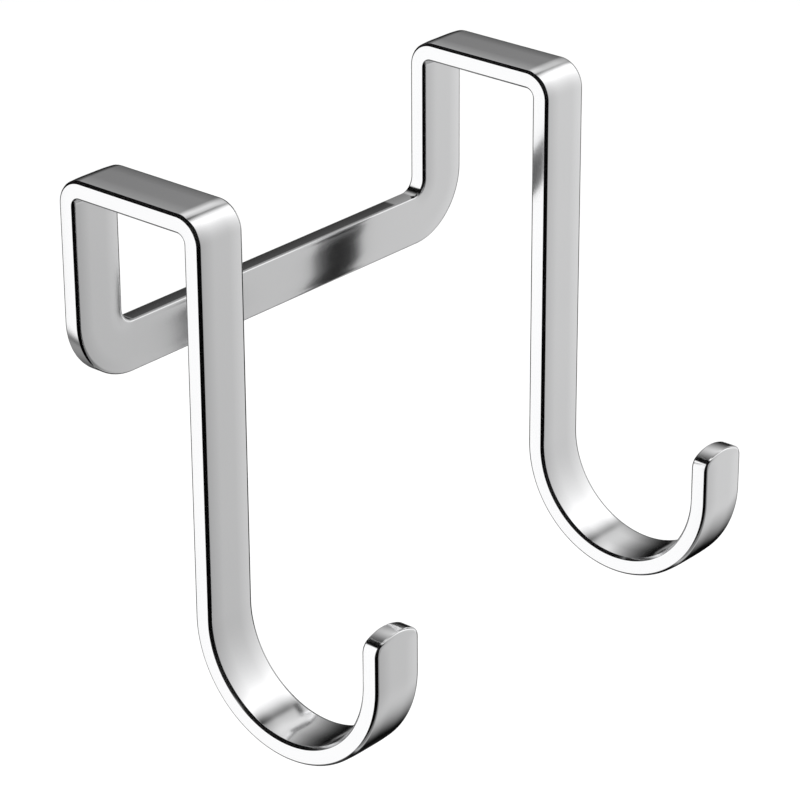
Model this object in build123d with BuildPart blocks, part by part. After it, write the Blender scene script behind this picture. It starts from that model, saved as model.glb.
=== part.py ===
"""Double hook that hangs over the top edge of a cabinet door.

The whole hook is one flat strip of metal.  It starts at one hook's tip, runs round the hook, up
the front leg, over the door's top edge and down behind the door.  There it turns the corner, runs
along as the cross bar, and goes back up and over to the other hook's tip in the same way.

Frame: +X along the door, +Y into the cabinet, +Z up.  The origin lies midway between the two
hooks, in the middle of the door's thickness, level with the door's top edge.
"""

import os
from math import sqrt

from build123d import *

# Driving dimensions, in millimetres: the strip and the whole
strip_width = 8.4
strip_thickness = 2.9
edge_bevel = 0.3  # bevel along every edge of the strip
overall_width = 80.0  # outer side of one hook to the outer side of the other
door_gap = 20.0  # clear room for the door, front legs to back plate
bend_radius = 1.1  # inside of the two bends over the door's edge

# Driving dimensions: the back plate behind the door
plate_depth = 28.3  # door's top edge to the lower edge of the cross bar
bar_height = 7.6
plate_corner_radius = 10.0  # outer lower corners
window_corner_radius = 2.2  # inner corners, where the uprights meet the bar

# Driving dimensions: the hooks in front of the door
hook_depth = 55.2  # door's top edge to the centre of the hook's round
hook_radius = 13.5  # inside of the hook's round
lip_height = 7.2  # centre of the hook's round to the top of the tip
tip_crown_radius = 7.6  # shallow arch across the top of the tip
tip_corner_radius = 1.8  # rounds at the two ends of that arch

# Places that follow from them
hook_pitch = overall_width - strip_width  # middle of one hook to the middle of the other
half_gap = door_gap / 2
half_width = strip_width / 2
lip_inset = half_gap + strip_thickness + 2 * hook_radius  # door's middle to the back of the lip
crown_rise = tip_crown_radius - sqrt(tip_crown_radius**2 - half_width**2)
shoulder_height = lip_height - crown_rise  # where the arch would meet the lip's straight sides
window_width = overall_width - 2 * strip_width
window_height = plate_depth - bar_height - bend_radius

lip_plane = Plane(origin=(hook_pitch / 2, -lip_inset, -hook_depth), x_dir=(1, 0, 0), z_dir=(0, -1, 0))
plate_plane = Plane(origin=(0, half_gap, 0), x_dir=(1, 0, 0), z_dir=(0, -1, 0))

upwards = (0, 1)  # heading of the strip's side line where it leaves the back plate
smooth_limit = 1.0  # degrees between two faces that still run on smoothly


def is_corner(edge: Edge) -> bool:
    """True where two faces meet at an angle, and don't run on smoothly."""
    middle = edge @ 0.5
    first, second = (face.normal_at(middle) for face in door_hook.faces() if edge in face.edges())
    return first.get_angle(second) > smooth_limit


with BuildPart() as door_hook:
    # One hook's strip seen from the side: the line next to the door, thickened away from the door
    with BuildSketch(Plane.YZ.offset(hook_pitch / 2)):
        with BuildLine():
            rear_bend = JernArc((half_gap, -bend_radius), upwards, bend_radius, 90)
            strap = Line(rear_bend @ 1, (bend_radius - half_gap, 0))
            front_bend = JernArc(strap @ 1, strap % 1, bend_radius, 90)
            leg = Line(front_bend @ 1, (-half_gap, -hook_depth))
            JernArc(leg @ 1, leg % 1, hook_radius + strip_thickness, -180)
            offset(amount=strip_thickness, side=Side.RIGHT)
        make_face()
    extrude(amount=half_width, both=True)

    # The lip that ends the hook, with its arched tip
    with BuildSketch(lip_plane) as lip:
        with BuildLine():
            sides = Polyline(
                (-half_width, shoulder_height),
                (-half_width, 0),
                (half_width, 0),
                (half_width, shoulder_height),
            )
            ThreePointArc(sides @ 1, (0, lip_height), sides @ 0)
        make_face()
        fillet(lip.vertices().group_by(Axis.Y)[-1], tip_corner_radius)
    extrude(amount=strip_thickness)

    # The second hook
    mirror(about=Plane.YZ)

    # The back plate: a U of two uprights and the cross bar, which joins the two hooks
    with BuildSketch(plate_plane) as plate:
        with Locations((0, -plate_depth)):
            Rectangle(overall_width, plate_depth - bend_radius, align=(Align.CENTER, Align.MIN))
        fillet(plate.vertices().group_by(Axis.Y)[0], plate_corner_radius)
        with Locations((0, bar_height - plate_depth)):
            Rectangle(window_width, window_height, align=(Align.CENTER, Align.MIN), mode=Mode.SUBTRACT)
        fillet(plate.vertices(Select.LAST).group_by(Axis.Y)[0], window_corner_radius)
    extrude(amount=-strip_thickness)

    # Every edge of the strip is eased by a fine bevel
    chamfer(door_hook.edges().filter_by(is_corner), edge_bevel)

door_hook.part.label = "door_hook"

os.makedirs("parts", exist_ok=True)
export_step(door_hook.part, "parts/door_hook.step")
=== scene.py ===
"""Polished chrome double hook for a cabinet door, on a white studio floor.

The hook is one flat strip of metal.  It starts at one hook's tip, runs round the hook, up the front
leg, over the door's top edge and down behind the door, turns the corner, crosses as the bar, and
goes back the same way to the other tip.  Its surface is one edge profile carried along the strip's
rim, from the middle line of one face, round the edge, to the middle line of the other face.

Frame: metres, +X along the door, +Y into the cabinet, +Z up.  The origin lies midway between the
two hooks, in the middle of the door's thickness, level with the door's top edge.
"""

from __future__ import annotations

import logging
from dataclasses import dataclass
from enum import Enum
from math import asin, cos, degrees, pi, radians, sin
from typing import Any

import bpy
import numpy as np
from mathutils import Matrix, Vector


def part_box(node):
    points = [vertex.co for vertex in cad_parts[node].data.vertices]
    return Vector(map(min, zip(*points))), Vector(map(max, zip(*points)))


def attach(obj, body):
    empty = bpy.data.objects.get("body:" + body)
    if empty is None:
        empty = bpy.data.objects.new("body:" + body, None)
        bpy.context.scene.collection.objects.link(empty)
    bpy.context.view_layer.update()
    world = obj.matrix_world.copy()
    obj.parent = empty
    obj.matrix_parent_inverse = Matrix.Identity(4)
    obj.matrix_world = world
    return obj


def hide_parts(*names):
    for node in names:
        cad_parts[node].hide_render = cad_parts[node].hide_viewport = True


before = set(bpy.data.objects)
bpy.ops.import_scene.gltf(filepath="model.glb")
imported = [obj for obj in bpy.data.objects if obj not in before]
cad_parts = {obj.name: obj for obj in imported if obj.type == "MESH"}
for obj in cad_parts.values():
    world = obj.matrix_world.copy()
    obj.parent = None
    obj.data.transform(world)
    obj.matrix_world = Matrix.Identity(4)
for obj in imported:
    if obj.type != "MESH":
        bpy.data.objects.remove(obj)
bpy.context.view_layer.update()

log = logging.getLogger("door_hook_scene")

Array = np.ndarray
Span = tuple[float, float]
Table = tuple[tuple[float, float], ...]
MM = 0.001
FULL_TURN = 360.0
NODE = "door_hook"
BODY = "root"


class Ease(Enum):
    """How a ramp between two values runs."""

    STRAIGHT = "LINEAR"
    SOFT = "SMOOTHSTEP"


class Shade:
    """One shader value, with Python's operators standing for Math nodes."""

    def __init__(self, desk: NodeDesk, socket: bpy.types.NodeSocket) -> None:
        """Keeps the socket and the desk that adds the nodes."""
        self.desk = desk
        self.socket = socket

    def __add__(self, other: Shade | float) -> Shade:
        """Sum of two values."""
        return self.desk.math("ADD", self, other)

    def __sub__(self, other: Shade | float) -> Shade:
        """This value less another."""
        return self.desk.math("SUBTRACT", self, other)

    def __rsub__(self, other: Shade | float) -> Shade:
        """Another value less this one."""
        return self.desk.math("SUBTRACT", other, self)

    def __mul__(self, other: Shade | float) -> Shade:
        """Product of two values."""
        return self.desk.math("MULTIPLY", self, other)

    def __pow__(self, other: Shade | float) -> Shade:
        """This value to the power of another."""
        return self.desk.math("POWER", self, other)

    def __rpow__(self, other: Shade | float) -> Shade:
        """Another value to the power of this one."""
        return self.desk.math("POWER", other, self)

    def below(self, limit: Shade | float) -> Shade:
        """1 where this value is less than a limit, and 0 elsewhere."""
        return self.desk.math("LESS_THAN", self, limit)

    def ramp(self, start: Shade | float, stop: Shade | float, ease: Ease = Ease.SOFT) -> Shade:
        """Ramp over this value.

        Args:
            start: where the ramp leaves 0.
            stop: where it reaches 1.
            ease: how it runs between them.

        Returns:
            The ramp's height, from 0 to 1.
        """
        settings = {"interpolation_type": ease.value, "clamp": True}
        node = self.desk.add("ShaderNodeMapRange", settings, Value=self, From_Min=start, From_Max=stop)
        return Shade(self.desk, node.outputs[0])

    __radd__ = __add__
    __rmul__ = __mul__


class NodeDesk:
    """Adds nodes to one material or world and wires them up."""

    def __init__(self, tree: bpy.types.NodeTree) -> None:
        """Empties the tree, so that every node in it is added here."""
        self.tree = tree
        tree.nodes.clear()

    def add(self, kind: str, settings: dict[str, Any] | None = None, **sockets: Any) -> bpy.types.Node:
        """Adds one node.

        Args:
            kind: the node's type name.
            settings: properties of the node, set first.
            sockets: values or links by socket name, with _ for a space, or by in0, in1 and so on.

        Returns:
            The node.
        """
        node = self.tree.nodes.new(kind)
        for name, value in (settings or {}).items():
            setattr(node, name, value)
        for name, value in sockets.items():
            is_place = name.startswith("in") and name[2:].isdigit()
            socket = node.inputs[int(name[2:]) if is_place else name.replace("_", " ")]
            if isinstance(value, Shade):
                value = value.socket
            if isinstance(value, bpy.types.NodeSocket):
                self.tree.links.new(value, socket)
            else:
                socket.default_value = value
        return node

    def math(self, operation: str, first: Shade | float, second: Shade | float) -> Shade:
        """Adds a Math node.

        Args:
            operation: the node's operation.
            first: its first value.
            second: its second value.

        Returns:
            The result.
        """
        node = self.add("ShaderNodeMath", {"operation": operation}, in0=first, in1=second)
        return Shade(self, node.outputs[0])


@dataclass(frozen=True)
class PolishedChrome:
    """Chrome plate buffed lengthways: a clear mirror with faint streaks of softer gloss.

    Streaks are counted per metre of the strip, along it and around it, and haze per metre in any
    direction.
    """

    bright: tuple[float, float, float] = (0.955, 0.955, 0.96)
    dull: tuple[float, float, float] = (0.925, 0.927, 0.935)
    gloss: float = 0.11
    streak_gloss: float = 0.06
    streaks_along: float = 90.0
    streaks_around: float = 5200.0
    streak_detail: float = 4.0
    haze_scale: float = 70.0
    haze_detail: float = 3.0

    def material(self) -> bpy.types.Material:
        """Builds the finish.

        Returns:
            A material that reads the strip's grain attribute.
        """
        material = bpy.data.materials.new("polished_chrome")
        material.use_nodes = True
        desk = NodeDesk(material.node_tree)
        grain = desk.add("ShaderNodeAttribute", {"attribute_name": "grain"}).outputs["Vector"]
        stretch = (self.streaks_along, self.streaks_around, 1.0)
        buffed = desk.add("ShaderNodeVectorMath", {"operation": "MULTIPLY"}, in0=grain, in1=stretch)
        streak_node = desk.add(
            "ShaderNodeTexNoise",
            Vector=buffed.outputs[0],
            Scale=1.0,
            Detail=self.streak_detail,
        )
        streak = Shade(desk, streak_node.outputs["Fac"])
        haze_node = desk.add(
            "ShaderNodeTexNoise",
            Vector=desk.add("ShaderNodeTexCoord").outputs["Object"],
            Scale=self.haze_scale,
            Detail=self.haze_detail,
        )
        haze = Shade(desk, haze_node.outputs["Fac"])
        tone = desk.add(
            "ShaderNodeMix",
            {"data_type": "RGBA"},
            in0=haze,
            in6=(*self.bright, 1.0),
            in7=(*self.dull, 1.0),
        )
        shader = desk.add(
            "ShaderNodeBsdfPrincipled",
            Base_Color=tone.outputs[2],
            Metallic=1.0,
            Roughness=self.gloss + self.streak_gloss * streak * haze,
        )
        desk.add("ShaderNodeOutputMaterial", Surface=shader.outputs[0])
        return material


@dataclass(frozen=True)
class Rim:
    """Stations along the strip's rim, each a row of the arrays.

    edge: points on the rim's outermost line, at mid thickness.
    outward: unit vectors across the strip, out of the rim.
    spine: points of the strip's middle line that face the rim points.
    door_side: unit vectors through the thickness, to the face of the strip that the door touches.
    """

    edge: Array
    outward: Array
    spine: Array
    door_side: Array


@dataclass(frozen=True)
class Skin:
    """A surface: points, their normals and grain, and its four-sided faces."""

    points: Array
    normals: Array
    grain: Array
    quads: Array

    def mirrored(self) -> Skin:
        """The same surface on the other side of the middle plane, still facing outwards."""
        flip = np.array([-1.0, 1.0, 1.0])
        return Skin(self.points * flip, self.normals * flip, self.grain, self.quads[:, ::-1])

    @staticmethod
    def joined(skins: list[Skin], weld: float) -> tuple[Skin, Array]:
        """Joins surfaces and welds the points that they share.

        Args:
            skins: the surfaces.
            weld: points that round to the same multiple of this are one point.

        Returns:
            The closed surface, with only whole quads, and the three-sided faces at its poles.
        """
        starts = np.cumsum([0] + [len(skin.points) for skin in skins[:-1]])
        points = np.concatenate([skin.points for skin in skins])
        quads = np.concatenate([skin.quads + start for skin, start in zip(skins, starts)])
        cells = np.round(points / weld).astype(np.int64)
        _, first, place = np.unique(cells, axis=0, return_index=True, return_inverse=True)
        quads = place.reshape(-1)[quads]
        repeats = quads == np.roll(quads, -1, axis=1)
        pinched = repeats.any(axis=1)
        triangles = quads[pinched][~repeats[pinched]].reshape(-1, 3)
        normals = np.concatenate([skin.normals for skin in skins])[first]
        grain = np.concatenate([skin.grain for skin in skins])[first]
        return Skin(points[first], normals, grain, quads[~pinched]), triangles


def arc(
    centre: tuple[float, float],
    radius: float,
    start: float,
    stop: float,
    steps: int,
) -> tuple[Array, Array]:
    """Points on a circle and the unit vectors from its centre to them.

    Each point is the centre plus the radius times (cos a, sin a), as a goes from start to stop.

    Args:
        centre: the circle's centre.
        radius: its radius.
        start: first angle, in degrees.
        stop: last angle, in degrees.
        steps: number of steps between them.

    Returns:
        Points and unit vectors, each an array of steps + 1 rows of two.
    """
    angle = np.radians(np.linspace(start, stop, steps + 1))
    ray = np.stack([np.cos(angle), np.sin(angle)], axis=1)
    return np.array(centre) + radius * ray, ray


def in_space(plane: Array, across: str, fixed: float) -> Array:
    """Puts rows of two into space.

    Args:
        plane: rows of two, (y, z) or (x, z).
        across: the axis that they lack, "x" or "y".
        fixed: their place on that axis.

    Returns:
        Rows of three.
    """
    return np.insert(plane, "xy".index(across), fixed, axis=1)


def grid_quads(rows: int, columns: int) -> Array:
    """Four-sided faces between the points of a grid, which are numbered row by row.

    Args:
        rows: the grid's rows.
        columns: its columns.

    Returns:
        Rows of four point numbers.
    """
    corner = np.arange(rows * columns).reshape(rows, columns)
    quads = np.stack([corner[:-1, :-1], corner[1:, :-1], corner[1:, 1:], corner[:-1, 1:]], axis=2)
    return quads.reshape(-1, 4)


@dataclass
class HookStrip:
    """The strip of metal, its sizes in metres and its angles in degrees.

    The box that it fills comes from the CAD node, and the rest are the strip's own sizes.  Three
    tables give the angle of the normal for angles of an edge's round, from the face to the rim.
    Edges along the bar and over the tips are eased.  Those on the strip's two sides are buffed on
    the face next to the door, and rolled on the face away from it.
    """

    lowest: Array
    highest: Array
    width: float = 8.4 * MM
    thickness: float = 2.9 * MM
    edge_radius: float = 0.4 * MM  # an edge's round, through the thickness
    edge_reach: float = 0.54 * MM  # the same round, across the face
    bend_radius: float = 1.1 * MM  # inside of the two bends over the door's edge
    hook_radius: float = 13.5 * MM  # inside of the hook's round
    bar_height: float = 7.6 * MM
    plate_depth: float = 28.3 * MM  # door's top edge to the bar's lower edge
    hook_depth: float = 55.2 * MM  # door's top edge to the centre of the hook's round
    plate_corner: float = 10.0 * MM  # outer rounds at the bar's ends
    window_corner: float = 2.2 * MM  # inner rounds there
    lip_height: float = 7.2 * MM  # centre of the hook's round to the tip's top
    tip_crown: float = 7.6 * MM  # shallow arch over the tip
    tip_corner: float = 1.8 * MM  # rounds at the two ends of that arch
    land: float = 1.4 * MM  # half width of a face's flat middle
    pillow: float = 31.0 * MM  # radius of the arc on which a face falls away beside it
    shear_left: float = -29.4 * MM  # where the sheared part of the bar's upper edge starts
    shear_right: float = 25.0 * MM  # where it ends
    shear_fade: float = 0.5 * MM  # run past its end in which the lean goes back to nothing
    shear_lean: float = 10.3
    level_enough: float = 0.9  # a normal higher than this belongs to a level edge
    eased: Table = ((0.0, 0.0), (28.0, 6.0), (46.0, 60.0), (58.0, 88.5), (90.0, 88.5))
    buffed: Table = ((0.0, 0.0), (30.0, 30.0), (85.0, 39.0), (90.0, 88.5))
    rolled: Table = ((0.0, 0.0), (4.0, 4.0), (10.0, 32.0), (85.0, 38.0), (90.0, 88.5))
    round_steps: int = 120
    bend_steps: int = 36
    crown_steps: int = 14
    tip_steps: int = 20
    corner_steps: int = 40
    face_steps: int = 10
    edge_steps: int = 12
    edge_crowding: float = 1.6  # power that crowds an edge's steps towards the rim
    weld: float = 0.0001 * MM

    @property
    def middle(self) -> float:
        """Distance from the middle plane to the middle of a hook's strip."""
        return self.highest[0] - self.width / 2

    @property
    def hook_centre(self) -> tuple[float, float]:
        """Centre of the hook's round, as (y, z)."""
        return self.lowest[1] + self.hook_radius + self.thickness, -self.hook_depth

    def hook_line(self) -> tuple[Array, Array]:
        """Middle line of a hook from the foot of its lip to the back plate.

        It is three arcs, the hook's round and the two bends, with straight runs between them.

        Returns:
            Points and unit vectors to the door side, as (y, z) rows.
        """
        half = self.thickness / 2
        turn = self.bend_radius + half
        front = self.hook_centre[0] + self.hook_radius + self.thickness + self.bend_radius
        back = self.highest[1] - self.thickness - self.bend_radius
        line, outside = arc(self.hook_centre, self.hook_radius + half, 180, 360, self.round_steps)
        rise, rise_ray = arc((front, -self.bend_radius), turn, 180, 90, self.bend_steps)
        fall, fall_ray = arc((back, -self.bend_radius), turn, 90, 0, self.bend_steps)
        return np.concatenate([line, rise, fall]), np.concatenate([outside, -rise_ray, -fall_ray])

    def tip_line(self) -> tuple[Array, Array]:
        """Outline of a tip's outer half, from its top to the start of the lip's straight side.

        It is the shallow arch, then the corner round that touches the arch and the side.

        Returns:
            Points and outward unit vectors, as (x, z) rows.
        """
        top = self.hook_centre[1] + self.lip_height
        inset = self.width / 2 - self.tip_corner
        lean = asin(inset / (self.tip_crown - self.tip_corner))
        drop = self.tip_crown - (self.tip_crown - self.tip_corner) * cos(lean)
        meet = 90 - degrees(lean)
        crown_centre = (self.middle, top - self.tip_crown)
        corner_centre = (self.middle + inset, top - drop)
        arch, arch_ray = arc(crown_centre, self.tip_crown, 90, meet, self.crown_steps)
        corner, corner_ray = arc(corner_centre, self.tip_corner, meet, 0, self.tip_steps)
        return np.concatenate([arch, corner[1:]]), np.concatenate([arch_ray, corner_ray[1:]])

    def plate_line(self, side: float, radius: float, depth: float) -> tuple[Array, Array]:
        """One edge of the back plate: the corner's quarter round, then the bar as far as its middle.

        Args:
            side: distance from the middle plane to the upright's edge, where the round starts.
            radius: the round's radius.
            depth: how far the bar's edge lies below the door's top edge.

        Returns:
            Points and unit vectors from the round's centre, as (x, z) rows.
        """
        line, ray = arc((side - radius, radius - depth), radius, 0, -90, self.corner_steps)
        across = np.array([self.shear_right + self.shear_fade, self.shear_right, 0.0])
        bar = np.stack([across, np.full_like(across, -depth)], axis=1)
        bar_ray = np.repeat(ray[-1:], len(across), axis=0)
        return np.concatenate([line, bar]), np.concatenate([ray, bar_ray])

    def rims(self) -> tuple[Rim, Rim]:
        """Outer and inner rim of the right half, from the tip's top to the middle of the bar.

        Each is the tip's outline, the hook's line and the plate's edge, one after the other.

        Returns:
            The two rims, with stations that face each other across the strip.
        """
        half = self.width / 2
        lip_y = self.lowest[1] + self.thickness / 2
        plate_y = self.highest[1] - self.thickness / 2
        flank = self.highest[0]
        window_depth = self.plate_depth - self.bar_height
        tip, tip_ray = self.tip_line()
        line, door = self.hook_line()
        outer_bar, ray = self.plate_line(flank, self.plate_corner, self.plate_depth)
        inner_bar, _ = self.plate_line(flank - self.width, self.window_corner, window_depth)
        spine_top = np.tile([self.middle, tip[-1, 1]], (len(tip), 1))
        spine_bar = (outer_bar + inner_bar) / 2
        to_front = np.array([[0.0, -1.0, 0.0]])
        door_side = np.concatenate([
            np.repeat(to_front, len(tip), axis=0),
            in_space(door, "x", 0.0),
            np.repeat(to_front, len(ray), axis=0),
        ])
        spine = np.concatenate([
            in_space(spine_top, "y", lip_y),
            in_space(line, "x", self.middle),
            in_space(spine_bar, "y", plate_y),
        ])
        shift = np.array([self.middle, 0.0])
        rims = []
        for side, bar in ((1.0, outer_bar), (-1.0, inner_bar)):
            turn = np.array([side, 1.0])
            edge = np.concatenate([
                in_space((tip - shift) * turn + shift, "y", lip_y),
                in_space(line, "x", self.middle + side * half),
                in_space(bar, "y", plate_y),
            ])
            outward = np.concatenate([
                in_space(tip_ray * turn, "y", 0.0),
                np.repeat([[side, 0.0, 0.0]], len(line), axis=0),
                in_space(side * ray, "y", 0.0),
            ])
            rims.append(Rim(edge, outward, spine, door_side))
        return rims[0], rims[1]

    def carried(self, rim: Rim, flipped: bool) -> Skin:
        """Carries the edge profile along a rim.

        From the spine each face is flat as far as the land, and from there to the rim it falls
        away on a wide arc, by the square of the way past the land over twice the arc's radius.
        Then a round, which reaches a little further on the face than on the rim, turns on to the
        flat rim, and the round on the other face leaves that in the same way.  The round's steps
        are finer towards the rim.

        Args:
            rim: the stations.
            flipped: True where the faces would point inwards as they come.

        Returns:
            The surface.
        """
        reach = np.linalg.norm(rim.edge - rim.spine, axis=1)[:, None] - self.edge_reach
        share = np.linspace(0.0, 1.0, self.face_steps + 1)[None, :]
        fall = np.maximum(reach * share - self.land, 0.0)
        lean = np.arctan(fall[:, -1:] / self.pillow)
        crowded = np.linspace(1.0, 0.0, self.edge_steps + 1)[None, :] ** self.edge_crowding
        bend = pi / 2 - (pi / 2 - lean) * crowded
        start = rim.edge - rim.outward * self.edge_reach * (1 - np.sin(lean))
        face = rim.spine[:, None] + (start - rim.spine)[:, None] * share[:, :-1, None]
        face_lift = self.thickness / 2 - fall**2 / (2 * self.pillow)
        level = face_lift[:, -1:] - self.edge_radius * np.cos(lean)
        turn_inset = self.edge_reach * (1 - np.sin(bend))[..., None]
        turn = rim.edge[:, None] - rim.outward[:, None] * turn_inset
        turn_lift = level + self.edge_radius * np.cos(bend)
        across = np.concatenate([face, turn], axis=1)
        lift = np.concatenate([face_lift[:, :-1], turn_lift], axis=1)[..., None]
        through = lift * rim.door_side[:, None]
        points = np.concatenate([across + through, (across - through)[:, ::-1]], axis=1)
        normals = self.edge_normals(rim, fall[:, :-1] / self.pillow, bend)
        stations, row = points.shape[:2]
        steps = np.linalg.norm(np.diff(rim.spine, axis=0), axis=1)
        along = np.concatenate([[0.0], np.cumsum(steps)])
        around = np.linspace(0.0, self.width + self.thickness, row)
        grain = np.stack([*np.meshgrid(along, around, indexing="ij"), np.zeros((stations, row))], axis=2)
        quads = grid_quads(stations, row)
        if flipped:
            quads = quads[:, ::-1]
        return Skin(points.reshape(-1, 3), normals.reshape(-1, 3), grain.reshape(-1, 3), quads)

    def edge_normals(self, rim: Rim, slope: Array, bend: Array) -> Array:
        """Normals of the profile at each station.

        On a face the normal's angle is that of the slope.  On a round it comes from the tables at
        the round's own angle: the eased one, and by as much as the rim points along the door, the
        buffed one next to the door and the rolled one away from it.

        Args:
            rim: the stations.
            slope: a face's slope at each of its steps.
            bend: a round's angle at each of its steps, in radians.

        Returns:
            Unit vectors in the order of the profile's points.
        """
        tables = (self.eased, self.buffed, self.rolled)
        eased, buffed, rolled = (np.interp(bend, *np.radians(table).T) for table in tables)
        sideways = np.abs(rim.outward[:, :1])
        near, far = (
            np.concatenate([np.arctan(slope), eased + (edge - eased) * sideways], axis=1)[..., None]
            for edge in (buffed, rolled)
        )
        out = rim.outward[:, None]
        door = rim.door_side[:, None]
        near_normals = np.sin(near) * out + np.cos(near) * door
        far_normals = np.sin(far) * out - np.cos(far) * door
        normals = np.concatenate([near_normals, far_normals[:, ::-1]], axis=1)
        return normals / np.linalg.norm(normals, axis=2, keepdims=True)

    def sheared(self, skin: Skin) -> Array:
        """Leans the bar's upper edge, which was sheared and then only buffed, a little to the rear.

        Normals that point straight up there turn about the bar's length by the lean.

        Args:
            skin: the whole strip's surface.

        Returns:
            Its normals.
        """
        x, _, z = skin.points.T
        along = (x > self.shear_left) & (x < self.shear_right + self.shear_fade / 2)
        upper = np.abs(z - self.bar_height + self.plate_depth) < self.weld
        level = skin.normals[:, 2] > self.level_enough
        lean = np.radians(self.shear_lean) * (along & upper & level)
        normals = skin.normals.copy()
        normals[:, 1] += np.sin(lean) * skin.normals[:, 2]
        normals[:, 2] *= np.cos(lean)
        return normals

    def build(self, finish: PolishedChrome) -> bpy.types.Object:
        """Makes the strip as one closed piece that stands for the CAD node.

        Args:
            finish: what it is plated with.

        Returns:
            The piece.
        """
        outer, inner = self.rims()
        half = [self.carried(outer, False), self.carried(inner, True)]
        skin, triangles = Skin.joined(half + [skin.mirrored() for skin in half], self.weld)
        mesh = bpy.data.meshes.new("hook_strip")
        mesh.from_pydata(skin.points, [], skin.quads.tolist() + triangles.tolist())
        grain = mesh.attributes.new("grain", "FLOAT_VECTOR", "POINT")
        grain.data.foreach_set("vector", skin.grain.ravel())
        mesh.shade_smooth()
        mesh.normals_split_custom_set_from_vertices(self.sheared(skin))
        mesh.materials.append(finish.material())
        piece = bpy.data.objects.new("hook_strip", mesh)
        bpy.context.scene.collection.objects.link(piece)
        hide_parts(NODE)
        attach(piece, BODY)
        return piece


@dataclass(frozen=True)
class Band:
    """Range of a direction's turn or lift that fades in and then out, in degrees."""

    fade_in: Span
    fade_out: Span

    def over(self, angle: Shade) -> Shade:
        """1 inside the range and 0 outside it, with soft ends."""
        return angle.ramp(*self.fade_in) * (1 - angle.ramp(*self.fade_out))


@dataclass(frozen=True)
class SoftPatch:
    """Patch of even light with soft edges."""

    light: float
    turn: Band
    lift: Band

    def glow(self, turn: Shade, lift: Shade) -> Shade:
        """Its light in a direction."""
        return self.light * self.turn.over(turn) * self.lift.over(lift)


@dataclass(frozen=True)
class CameraGap:
    """Dark gap where the camera stands, which bends to the left higher up.  Angles in degrees."""

    level_turn: float = -114.0
    slope: float = 0.16
    curve: float = 0.0033

    def at(self, lift: Shade) -> Shade:
        """Turn of the gap's middle, which is quadratic in the lift."""
        return self.level_turn - self.slope * lift - self.curve * lift**2.0


@dataclass(frozen=True)
class KeyScreen:
    """Large screen to the right of the camera, brightest high up on its right.

    Spans are ramps over the turn or the lift, in degrees.  The left edge follows the camera's gap
    and draws back from it high up.  The right edge has shifts of its own high up and low down.
    """

    light: float = 1.13
    gap: CameraGap = CameraGap()
    left_edge: Span = (17.0, 24.0)
    draw_back: float = 45.0
    draw_back_lift: Span = (22.0, 44.0)
    left_tone: float = 0.36
    right_gain: float = 0.57
    right_gain_turn: Span = (-72.0, -20.0)
    spot_gain: float = 0.12
    spot_turn: Span = (-40.0, -20.0)
    spot_lift: Span = (15.0, 40.0)
    low_tone: float = 0.5
    high_gain: float = 0.6
    high_gain_lift: Span = (-55.0, 40.0)
    right_edge: Span = (-26.0, -6.0)
    low_shift: Span = (-10.0, 28.0)
    low_lift: Span = (-44.0, -30.0)
    high_shift: Span = (20.0, 26.0)
    high_lift: Span = (10.0, 36.0)
    corner_turn: Span = (-30.0, 12.0)
    corner_lift: Span = (38.0, 58.0)

    def glow(self, turn: Shade, lift: Shade) -> Shade:
        """Its light in a direction: the product of its edges and its tones across and upwards.

        Args:
            turn: direction's turn.
            lift: direction's lift.

        Returns:
            The light.
        """
        gap = self.gap.at(lift) + self.draw_back * lift.ramp(*self.draw_back_lift)
        left = turn.ramp(*(gap + edge for edge in self.left_edge))
        spot = self.spot_gain * turn.ramp(*self.spot_turn) * lift.ramp(*self.spot_lift)
        across = self.left_tone + self.right_gain * turn.ramp(*self.right_gain_turn) + spot
        upwards = self.low_tone + self.high_gain * lift.ramp(*self.high_gain_lift, Ease.STRAIGHT)
        low = 1 - lift.ramp(*self.low_lift)
        high = lift.ramp(*self.high_lift)
        edges = zip(self.right_edge, self.low_shift, self.high_shift)
        right = 1 - turn.ramp(*(up * high + down * low + edge for edge, down, up in edges))
        corner = 1 - lift.ramp(*self.corner_lift, Ease.STRAIGHT) * turn.ramp(*self.corner_turn)
        return self.light * left * across * upwards * right * corner


@dataclass(frozen=True)
class FillScreen:
    """Screen behind on the right, which fades to black at the horizon and to its left.

    Spans are ramps over the turn or the lift, in degrees.
    """

    light: float = 0.82
    right_edge: Span = (9.0, 18.0)
    right_tone: float = 0.7
    tone_turn: Span = (15.0, 32.0)
    fade_turn: Span = (26.0, 88.0)
    climb_lift: Span = (-5.0, 40.0)
    climb_power: float = 1.98
    top_loss: float = 0.4
    top_lift: Span = (44.0, 60.0)

    def glow(self, turn: Shade, lift: Shade) -> Shade:
        """Its light in a direction: a power of its climb, times its tones across and at the top.

        Args:
            turn: direction's turn.
            lift: direction's lift.

        Returns:
            The light.
        """
        tone = self.right_tone + (1 - self.right_tone) * turn.ramp(*self.tone_turn, Ease.STRAIGHT)
        across = turn.ramp(*self.right_edge) * tone * (1 - turn.ramp(*self.fade_turn))
        upwards = lift.ramp(*self.climb_lift, Ease.STRAIGHT) ** self.climb_power
        top = 1 - self.top_loss * lift.ramp(*self.top_lift)
        return self.light * across * upwards * top


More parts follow.
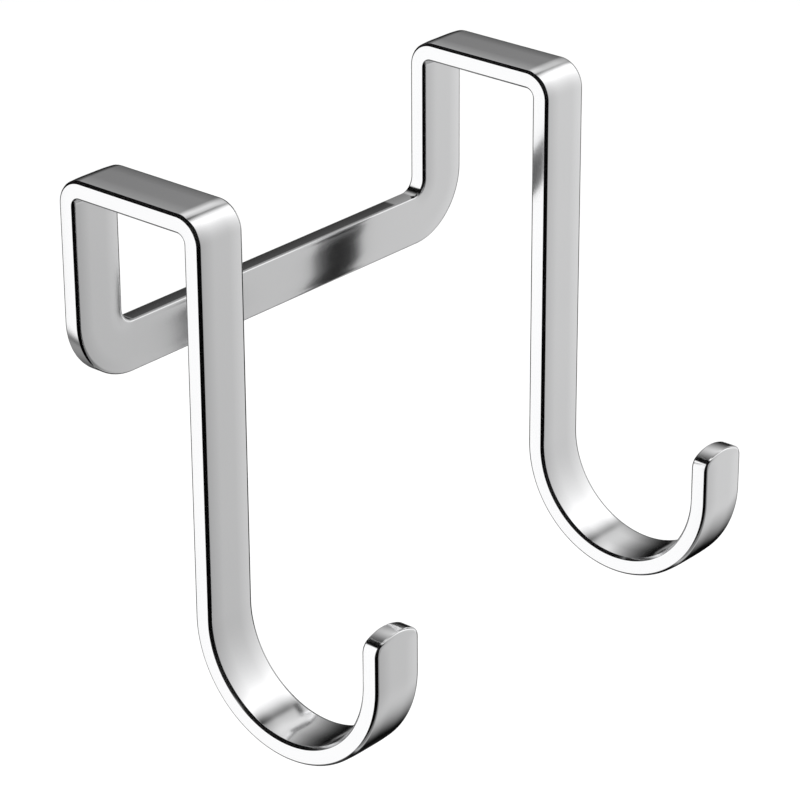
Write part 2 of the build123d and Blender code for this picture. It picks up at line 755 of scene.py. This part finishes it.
@dataclass(frozen=True)
class LeftRoom:
    """Grey room between the left wall and the camera's gap, darker low down.

    Spans are ramps over the turn, counted on past half a turn, or over the lift, in degrees.
    """

    light: float = 0.6
    wall_edge: Span = (150.0, 156.0)
    gap: CameraGap = CameraGap()
    gap_edge: Span = (-20.0, -12.0)
    low_tone: float = 0.12
    low_lift: Span = (-22.0, -8.0)
    top_lift: Span = (42.0, 55.0)

    def glow(self, turn: Shade, lift: Shade) -> Shade:
        """Its light in a direction: the product of its edges and its tone upwards.

        Args:
            turn: direction's turn.
            lift: direction's lift.

        Returns:
            The light.
        """
        around = turn + FULL_TURN * turn.below(0.0)
        gap = self.gap.at(lift) + FULL_TURN
        across = around.ramp(*self.wall_edge) * (1 - around.ramp(*(gap + edge for edge in self.gap_edge)))
        upwards = self.low_tone + (1 - self.low_tone) * lift.ramp(*self.low_lift)
        return self.light * across * upwards * (1 - lift.ramp(*self.top_lift))


@dataclass(frozen=True)
class BackRoom:
    """Grey room straight behind, whose right edge slants.  Angles in degrees."""

    light: float = 0.48
    right_edge: Span = (88.0, 96.0)
    slant: float = 0.68
    left_edge: Span = (112.0, 130.0)
    lift: Band = Band((-22.0, -12.0), (6.0, 20.0))

    def glow(self, turn: Shade, lift: Shade) -> Shade:
        """Its light in a direction, where the right edge shifts by the slant times the lift.

        Args:
            turn: direction's turn.
            lift: direction's lift.

        Returns:
            The light.
        """
        shift = self.slant * lift
        right = turn.ramp(*(shift + edge for edge in self.right_edge))
        return self.light * right * (1 - turn.ramp(*self.left_edge)) * self.lift.over(lift)


@dataclass(frozen=True)
class StudioWalls:
    """What stands round the hook, as the metal shows it: soft screens and grey walls, with dark gaps.

    Every other ray meets plain white.  Directions are in degrees: turn is from +X towards +Y, and
    lift is above the horizon.  A band that fades beyond straight up or down has no edge there.
    """

    key: KeyScreen = KeyScreen()
    fill: FillScreen = FillScreen()
    left_room: LeftRoom = LeftRoom()
    back_room: BackRoom = BackRoom()
    left_wall: SoftPatch = SoftPatch(
        light=1.045,
        turn=Band((117.0, 132.0), (150.0, 156.0)),
        lift=Band((-60.0, -36.0), (39.0, 45.0)),
    )
    floor: SoftPatch = SoftPatch(
        light=0.28,
        turn=Band((20.0, 110.0), (110.0, 125.0)),
        lift=Band((-100.0, -95.0), (-36.0, -27.0)),
    )
    right_wall: SoftPatch = SoftPatch(
        light=0.48,
        turn=Band((-32.0, -12.0), (14.0, 28.0)),
        lift=Band((-24.0, -12.0), (14.0, 28.0)),
    )
    low_strip: SoftPatch = SoftPatch(
        light=0.252,
        turn=Band((20.0, 34.0), (58.0, 72.0)),
        lift=Band((-20.5, -15.5), (-12.0, -7.0)),
    )
    ceiling: SoftPatch = SoftPatch(
        light=0.9,
        turn=Band((20.0, 50.0), (98.0, 112.0)),
        lift=Band((70.0, 77.0), (95.0, 100.0)),
    )

    def glow(self, turn: Shade, lift: Shade) -> Shade:
        """Sum of the light of all that stands in a direction.

        Args:
            turn: direction's turn.
            lift: direction's lift.

        Returns:
            The light.
        """
        screens = self.key.glow(turn, lift) + self.fill.glow(turn, lift)
        walls = (self.left_wall, self.floor, self.left_room, self.right_wall, self.back_room)
        for wall in (*walls, self.low_strip, self.ceiling):
            screens = screens + wall.glow(turn, lift)
        return screens

    def build(self) -> bpy.types.World:
        """Makes the world and gives it to the scene.

        Returns:
            The world.
        """
        world = bpy.data.worlds.new("studio_walls")
        world.use_nodes = True
        desk = NodeDesk(world.node_tree)
        way = desk.add("ShaderNodeTexCoord").outputs["Generated"]
        parts = desk.add("ShaderNodeSeparateXYZ", Vector=way)
        x, y, z = (Shade(desk, socket) for socket in parts.outputs)
        turn = desk.math("ARCTAN2", y, x) * degrees(1.0)
        lift = desk.math("ARCSINE", z, 0.0) * degrees(1.0)
        in_metal = Shade(desk, desk.add("ShaderNodeLightPath").outputs["Is Glossy Ray"])
        light = 1 + in_metal * (self.glow(turn, lift) - 1)
        sky = desk.add("ShaderNodeBackground", Color=(1.0, 1.0, 1.0, 1.0), Strength=light)
        desk.add("ShaderNodeOutputWorld", Surface=sky.outputs[0])
        bpy.context.scene.world = world
        return world


@dataclass(frozen=True)
class StudioFloor:
    """Plain white floor well below the hook.  Lengths in metres."""

    height: float = -0.75
    reach: float = 8.0
    points: int = 9  # along each side
    colour: tuple[float, float, float] = (0.97, 0.97, 0.97)
    roughness: float = 0.9

    def build(self) -> bpy.types.Object:
        """Lays the floor: a square grid, flat at its height.

        Returns:
            The floor.
        """
        side = np.linspace(-self.reach, self.reach, self.points)
        level = np.full((self.points, self.points), self.height)
        grid = np.stack([*np.meshgrid(side, side, indexing="ij"), level], axis=2)
        mesh = bpy.data.meshes.new("studio_floor")
        mesh.from_pydata(grid.reshape(-1, 3), [], grid_quads(self.points, self.points).tolist())
        material = bpy.data.materials.new("white_floor")
        material.use_nodes = True
        desk = NodeDesk(material.node_tree)
        colour = (*self.colour, 1.0)
        shader = desk.add("ShaderNodeBsdfPrincipled", Base_Color=colour, Roughness=self.roughness)
        desk.add("ShaderNodeOutputMaterial", Surface=shader.outputs[0])
        mesh.materials.append(material)
        floor = bpy.data.objects.new("studio_floor", mesh)
        floor.visible_glossy = False
        bpy.context.scene.collection.objects.link(floor)
        return floor


@dataclass(frozen=True)
class SoftLamp:
    """One large soft lamp overhead.  Lengths in metres, power in watts."""

    height: float = 1.6
    size: float = 1.5
    power: float = 12.0

    def build(self) -> bpy.types.Object:
        """Hangs the lamp, facing down.

        Returns:
            The lamp.
        """
        data = bpy.data.lights.new("soft_lamp", "AREA")
        data.size = self.size
        data.energy = self.power
        lamp = bpy.data.objects.new("soft_lamp", data)
        lamp.location = (0.0, 0.0, self.height)
        lamp.visible_glossy = False
        bpy.context.scene.collection.objects.link(lamp)
        return lamp


@dataclass(frozen=True)
class PhotoCamera:
    """The camera, where the photograph was taken from.  Lengths in metres, angles in degrees.

    Only the lens and the sensor are in millimetres.
    """

    target: tuple[float, float, float] = (-3.1484 * MM, -15.0 * MM, -34.687 * MM)
    distance: float = 496.1305 * MM
    azimuth: float = -49.1201
    elevation: float = 24.8609
    roll: float = -0.3116
    lens: float = 160.569
    sensor: float = 36.0
    nearest: float = 0.01
    furthest: float = 50.0

    def build(self) -> bpy.types.Object:
        """Adds the camera and makes it the scene's.

        Returns:
            The camera.
        """
        turn, lift = radians(self.azimuth), radians(self.elevation)
        back = Vector((sin(turn) * cos(lift), -cos(turn) * cos(lift), sin(lift)))
        right = Vector((cos(turn), sin(turn), 0.0))
        axes = Matrix((right, back.cross(right), back)).transposed()
        pose = axes.to_4x4() @ Matrix.Rotation(radians(self.roll), 4, "Z")
        pose.translation = Vector(self.target) + self.distance * back
        data = bpy.data.cameras.new("photo_camera")
        data.lens = self.lens
        data.sensor_width = self.sensor
        data.sensor_fit = "HORIZONTAL"
        data.clip_start = self.nearest
        data.clip_end = self.furthest
        camera = bpy.data.objects.new("photo_camera", data)
        camera.matrix_world = pose
        bpy.context.scene.collection.objects.link(camera)
        bpy.context.scene.camera = camera
        return camera


def main() -> None:
    """Builds the hook, the studio and the camera."""
    logging.basicConfig(level=logging.INFO, format="%(name)s: %(message)s")
    lowest, highest = (np.array(corner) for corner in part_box(NODE))
    strip = HookStrip(lowest, highest).build(PolishedChrome())
    log.info("strip: %d faces", len(strip.data.polygons))
    walls = StudioWalls().build()
    floor = StudioFloor().build()
    lamp = SoftLamp().build()
    camera = PhotoCamera().build()
    log.info("studio: %s, %s, %s, %s", walls.name, floor.name, lamp.name, camera.name)
    bpy.context.scene.view_settings.view_transform = "Standard"


if __name__ == "__main__":
    main()
